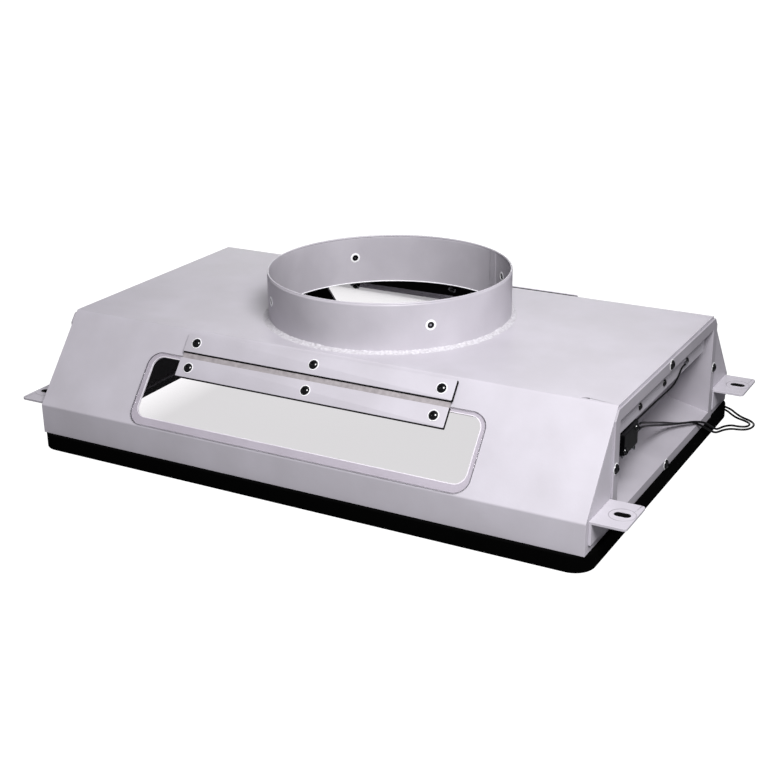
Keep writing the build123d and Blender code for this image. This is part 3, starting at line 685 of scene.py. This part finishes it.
# A screw's head radius, head height, socket's half width and shank radius, in mm, and after them
# how far its shank reaches below the seat.
M4 = (3.8, 2.2, 1.25, 2.0)
M3 = (2.85, 1.65, 1.0, 1.5)
TRAY_SCREWS = ((-113.75, 58.75), (113.75, 58.75), (0, 98.5), (0, 16.9))     # (y, z) in mm
RAIL_SCREWS = ((-54, 83.25), (0, 83.25), (54, 83.25))
SWITCH_SCREWS = ((-91.1, 62.8), (-68.9, 73.1))
RAIL_FACE = 236 * MM
SWITCH_FACE = 239.7 * MM


def seats(x, places):
    """Screw seats in a plane across the hood's length, from their (y, z) in mm."""
    return [(x, y * MM, z * MM) for y, z in places]


for end, name in ((1, "right"), (-1, "left")):
    screw_piece(f"tray_heads_{name}", seats(end * (HALF + SHEET), TRAY_SCREWS), (end, 0, 0),
                (*M4, 6.7), f"tray_screws_{name}")
    softened(f"tray_nuts_{name}", NUT, edge=0.0002)
screw_piece("rail_heads", seats(RAIL_FACE, RAIL_SCREWS), (1, 0, 0), (*M3, 4.4), "rail_screws")
softened("rail_nuts", NUT, edge=0.0002)
screw_piece("switch_heads", seats(SWITCH_FACE, SWITCH_SCREWS), (1, 0, 0), (*M3, 14.7), "switch_screws")
softened("switch_nuts", NUT, edge=0.0002)

# --- flap windows ---------------------------------------------------------------------------------
# Sizes in mm, as (along the hood, up the slope), and levels out of the slope, as (low, high).
PANE, PANE_LEVELS = (300.0, 61.4), (0.3, 1.8)
PANE_FOOT = 1.3                 # the pane's lower edge, up the slope from the fold
OPENING = (291.0, 51.0)
OPENING_FOOT = 8.3
OPENING_CORNER = 9.0
HINGE_UP = PANE_FOOT + PANE[1] + 1.2
HINGE_OUT = 2.1
BAR, BAR_LEVELS = (238.0, 15.7), (2.95, 3.9)
BAR_GAP = 2.7                   # from the hinge line to each bar
STRIP_SIZE, STRIP_LEVELS = (238.9, 16.6), (2.38, 2.98)
STRIP_SHIFT = 0.45              # so that a strip shows from under its bar below it and at one end
BAND_LEVELS = (1.82, 2.38)
PACKER_LEVELS = (0.02, 1.82)
BAR_SCREWS = (-109, 0, 109)     # along a bar
hood_bar_mid = HINGE_UP + BAR_GAP + BAR[1] / 2
flap_bar_mid = HINGE_UP - BAR_GAP - BAR[1] / 2


def slope_place(side, points):
    """Local (x, up the slope, out of the slope) in mm to the row frame: the slope rises inwards at 51
    degrees from the lower fold, and the back is the front turned half a turn about Z."""
    points = np.asarray(points, float) * MM
    x, up_slope, out = points[:, 0], points[:, 1], points[:, 2]
    y = side * (HALF_WIDTH - up_slope * cos(SLOPE) + out * sin(SLOPE))
    z = FOLD_Z + up_slope * sin(SLOPE) + out * cos(SLOPE)
    return np.stack([-side * x, y, z], -1)


def out_of_slope(side):
    """The slope's direction outwards."""
    return (0, side * sin(SLOPE), cos(SLOPE))


def slope_plate(name, side, size, up_slope, levels, corner, edge, material, body, slot,
                replaces=(), shift=0.0):
    """A rounded plate lying on the slope, its middle that far up it."""
    points, faces = rounded_plate(*size, corner, *levels, edge)
    points[:, 1] += up_slope
    points[:, 0] += shift
    piece = mesh_piece(name, slope_place(side, points), faces, material, body, slot)
    if replaces:
        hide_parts(*replaces)
    return piece


def opening_highlight_ring(side):
    """A painted highlight round the window opening: a flat ring 0.7 mm wide and 0.12 mm high in the
    near-white finish, its four loops rounded rectangles stepped out from the opening's edge."""
    loops = []
    for step, level in ((0.0, -0.05), (0.0, 0.12), (0.7, 0.12), (0.7, -0.05)):
        outline = rounded_rectangle(*OPENING, OPENING_CORNER, -step)
        outline[:, 1] += OPENING_FOOT + OPENING[1] / 2
        loops.append(np.column_stack([outline, np.full(LOOP, level)]))
    return slope_place(side, np.concatenate(loops)), grid_faces(len(loops), LOOP, True, True)


def hinge_band():
    """A thin fabric band from under the hood bar to under the flap bar, a grid across the hinge line
    with its two faces 0.56 mm apart, finer near the hinge line."""
    low, high = flap_bar_mid - 7.4, hood_bar_mid + 7.4
    near = HINGE_UP + np.linspace(-2.6, 2.6, 13)
    ups = np.concatenate([[low, low + 6], near, [high - 6, high]])
    xs = np.linspace(-118.6, 118.6, 25)
    points = []
    for level in BAND_LEVELS:
        grid = np.stack(np.meshgrid(xs, ups, indexing="xy"), -1)
        points.append(np.concatenate([grid.reshape(-1, 2), np.full((grid.size // 2, 1), level)], 1))
    rows, columns = len(ups), len(xs)
    faces = grid_faces(rows, columns)[:, ::-1].tolist()
    faces += grid_faces(rows, columns, first=rows * columns).tolist()
    edge = np.concatenate([np.arange(columns), np.arange(1, rows) * columns + columns - 1,
                           (rows - 1) * columns + np.arange(columns - 2, -1, -1),
                           np.arange(rows - 2, 0, -1) * columns])
    after = np.roll(edge, -1)
    faces += np.stack([edge, after, after + rows * columns, edge + rows * columns], -1).tolist()
    return np.concatenate(points), faces


for side, name in ((-1, "front"), (1, "back")):
    flap = f"{name}_flap"
    pane = slope_plate(f"{name}_pane", side, PANE, PANE_FOOT + PANE[1] / 2, PANE_LEVELS, 12.0, 0.25,
                       CLEAR, flap, "clear_sheet", (f"{name}_window_pane",))
    repaint(pane.data, CLEAR_EDGE, np.abs(faces_of(pane.data)[1] @ np.array(out_of_slope(side))) < 0.5)
    slope_plate(f"{name}_upper_bar", side, BAR, hood_bar_mid, BAR_LEVELS, 0.8, 0.25, COAT, "hood",
                "powder_coat", (f"{name}_hinge_bar",))
    slope_plate(f"{name}_lower_bar", side, BAR, flap_bar_mid, BAR_LEVELS, 0.8, 0.25, COAT, flap,
                "powder_coat", (f"{name}_flap_bar",))
    slope_plate(f"{name}_upper_strip", side, STRIP_SIZE, hood_bar_mid - STRIP_SHIFT, STRIP_LEVELS,
                0.6, 0.1, STRIP, "hood", "rubber", shift=STRIP_SHIFT)
    slope_plate(f"{name}_lower_strip", side, STRIP_SIZE, flap_bar_mid - STRIP_SHIFT, STRIP_LEVELS,
                0.6, 0.1, STRIP, flap, "rubber", shift=STRIP_SHIFT)
    slope_plate(f"{name}_packer", side, BAR, hood_bar_mid, PACKER_LEVELS, 0.5, 0.1, STRIP, "hood",
                "rubber", (f"{name}_hinge_packer",))
    mesh_piece(f"{name}_opening_highlight_ring", *opening_highlight_ring(side), PAINTED_HIGHLIGHT, "hood", "powder_coat")
    points, faces = hinge_band()
    band = mesh_piece(f"{name}_band", slope_place(side, points), faces, BAND, None, "hinge_fabric")
    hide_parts(f"{name}_hinge_band", f"{name}_flap_band")
    # The band's face towards the inside of the hood gets painted shade.
    repaint(band.data, BAND_BACK_PAINTED_SHADE, faces_of(band.data)[1] @ np.array(out_of_slope(side)) < -0.5)
    start, end = slope_place(side, [(0, HINGE_UP + 2.4, HINGE_OUT), (0, HINGE_UP - 2.4, HINGE_OUT)])
    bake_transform(band)
    for part, mid, reach in (("hinge", hood_bar_mid, 9.6), ("flap", flap_bar_mid, 8.1)):
        places = slope_place(side, [(x, mid, BAR_LEVELS[1]) for x in BAR_SCREWS])
        screw_piece(f"{name}_{part}_heads", places.tolist(), out_of_slope(side), (*M4, reach),
                    f"{name}_{part}_screws")
        softened(f"{name}_{part}_nuts", NUT, edge=0.0002)

# --- slots in the tabs ------------------------------------------------------------------------------
SLOT_X, SLOT_Y, TAB_TOP = 256.0, 138.5, 37.5    # the slots' middles and the tabs' top, in mm
SLOT_RADIUS = 2.75
SLOT_ALONG = 2.75                               # from a slot's middle to its half circles' centres


def slot_ring(end, side, section):
    """A closed section of (offset from the slot's edge, level) carried round the slot's outline of
    two half circles and two straights, on the top of a tab."""
    turn = np.linspace(-pi / 2, pi / 2, 13)
    ends = np.concatenate([
        np.stack([SLOT_ALONG + 0 * turn, 0 * turn, np.cos(turn), np.sin(turn)], -1),
        np.stack([-SLOT_ALONG + 0 * turn, 0 * turn, -np.cos(turn), -np.sin(turn)], -1)])
    offset = SLOT_RADIUS + section[:, 0]
    x = ends[:, None, 0] + ends[:, None, 2] * offset[None, :]
    y = ends[:, None, 1] + ends[:, None, 3] * offset[None, :]
    z = np.broadcast_to(section[:, 1], x.shape)
    points = np.stack([end * (SLOT_X + x), side * SLOT_Y + y, TAB_TOP + z], -1).reshape(-1, 3) * MM
    return points, grid_faces(len(ends), len(section), True, True)


rim_turn = np.linspace(0, pi, 7)
rim_section = np.stack([0.95 - 0.4 * np.cos(rim_turn), 0.22 * np.sin(rim_turn) - 0.03], -1)
# Each tab slot's walls are lined black down 4 mm below the tab's top: painted shade for the dark under the
# tab.
shade_well_section = np.array([(0.55, -0.05), (0.5, 0.14), (-0.4, 0.1), (-0.55, -0.1), (-0.55, -4.0),
                          (-0.05, -4.0), (-0.05, -0.05)])
mark_section = np.array([(9.0, -0.05), (9.15, 0.07), (9.75, 0.07), (9.9, -0.05)])
for end, end_name in ((1, "right"), (-1, "left")):
    for side, side_name in ((-1, "front"), (1, "back")):
        tag = f"{side_name}_{end_name}"
        mesh_piece(f"slot_rim_{tag}", *slot_ring(end, side, rim_section), COAT, "hood", "powder_coat")
        mesh_piece(f"slot_painted_shade_{tag}", *slot_ring(end, side, shade_well_section), STRIP, "hood", "rubber")
        ring_points, ring_faces = lathe(mark_section * MM, 48)
        ring_points = ring_points + np.array([end * SLOT_X, side * SLOT_Y, TAB_TOP]) * MM
        mesh_piece(f"slot_mark_{tag}", ring_points, ring_faces, MARK, "hood", "powder_coat")

# --- switch -----------------------------------------------------------------------------------------
softened("switch_body", BLACK, edge=0.0003)
softened("switch_lever", SPRING, edge=0.0)
softened("lever_yoke", SPRING, edge=0.0)
softened("switch_plunger", BLACK, edge=0.0002)
softened("switch_blades", BRASS, edge=0.0001)
softened("blade_sleeves", SLEEVE, edge=0.0003)
softened("rail_wire", WIRE, edge=0.0)
softened("wire_eyelet", NUT, edge=0.0002)

# --- floor, lights ------------------------------------------------------------------------------------
# The floor glows by itself, and a little less under the hood as painted shade for the hood's
# shadow, where the distance from its middle as a share of its half sizes is small.
FLOOR_HALF, FLOOR_LEVEL = 30, -0.0002
floor_mesh = bpy.data.meshes.new("floor")
floor_mesh.from_pydata([(x * FLOOR_HALF, y * FLOOR_HALF, FLOOR_LEVEL)
                        for x, y in ((-1, -1), (1, -1), (1, 1), (-1, 1))], [], [(0, 1, 2, 3)])
floor = bpy.data.objects.new("floor", floor_mesh)
bpy.context.scene.collection.objects.link(floor)
paper, tree = new_material("white_paper_floor")
diffuse = add(tree, "ShaderNodeBsdfDiffuse", {"Color": colour("#6A6A6C")})
floor_coords = add(tree, "ShaderNodeTexCoord")
floor_axes = add(tree, "ShaderNodeSeparateXYZ", {0: (floor_coords, "Object")})
shares = [add(tree, "ShaderNodeMath", {0: (floor_axes, axis), 1: half}, operation="DIVIDE")
          for axis, half in (("X", 0.236), ("Y", 0.160))]
reaches = [add(tree, "ShaderNodeMath", {0: (share, "Value")}, operation="ABSOLUTE")
           for share in shares]
farthest = add(tree, "ShaderNodeMath", {0: (reaches[0], "Value"), 1: (reaches[1], "Value")},
               operation="MAXIMUM")
glow_with_painted_shade = add(tree, "ShaderNodeMapRange",
                    {"Value": (farthest, "Value"), "From Min": 0.80, "From Max": 1.0,
                     "To Min": 0.93, "To Max": 1.3})
glow = add(tree, "ShaderNodeEmission",
           {"Color": (1, 1, 1, 1), "Strength": (glow_with_painted_shade, "Result")})
seen = add(tree, "ShaderNodeLightPath")
lit = add(tree, "ShaderNodeMath", {0: (seen, "Is Camera Ray"), 1: 0.85}, operation="MULTIPLY")
blend_floor = add(tree, "ShaderNodeMixShader", {"Fac": (lit, "Value")})
tree.links.new(diffuse.outputs["BSDF"], blend_floor.inputs[1])
tree.links.new(glow.outputs["Emission"], blend_floor.inputs[2])
floor_mesh.materials.append(finish_material(paper, blend_floor, "Shader"))

world = bpy.data.worlds.new("studio")
bpy.context.scene.world = world
world.use_nodes = True
world.node_tree.nodes.clear()
ray = add(world.node_tree, "ShaderNodeLightPath")
strength = add(world.node_tree, "ShaderNodeMapRange",
               {"Value": (ray, "Is Camera Ray"), "To Min": 0.20, "To Max": 1.2})
dome = add(world.node_tree, "ShaderNodeBackground",
           {"Color": colour("#F2F1F6"), "Strength": (strength, "Result")})
add(world.node_tree, "ShaderNodeOutputWorld", {"Surface": (dome, "Background")})


def area_light(name, place, target, size, power):
    """A white rectangular light at a place, turned to a target, all in metres and watts."""
    data = bpy.data.lights.new(name, "AREA")
    data.shape = "RECTANGLE"
    data.size, data.size_y = size
    data.energy = power
    light = bpy.data.objects.new(name, data)
    light.location = place
    aim = Vector(target) - Vector(place)
    light.rotation_euler = aim.to_track_quat("-Z", "Y").to_euler()
    bpy.context.scene.collection.objects.link(light)


area_light("key", (0.60, -0.64, 0.92), (0.05, 0, 0.06), (0.5, 0.5), 19.5)
area_light("back_fill", (-0.8, 1.5, 0.32), (0, 0, 0.05), (1.2, 0.5), 7)

scene = bpy.context.scene
scene.view_settings.view_transform = "Standard"
scene.view_settings.look = "None"
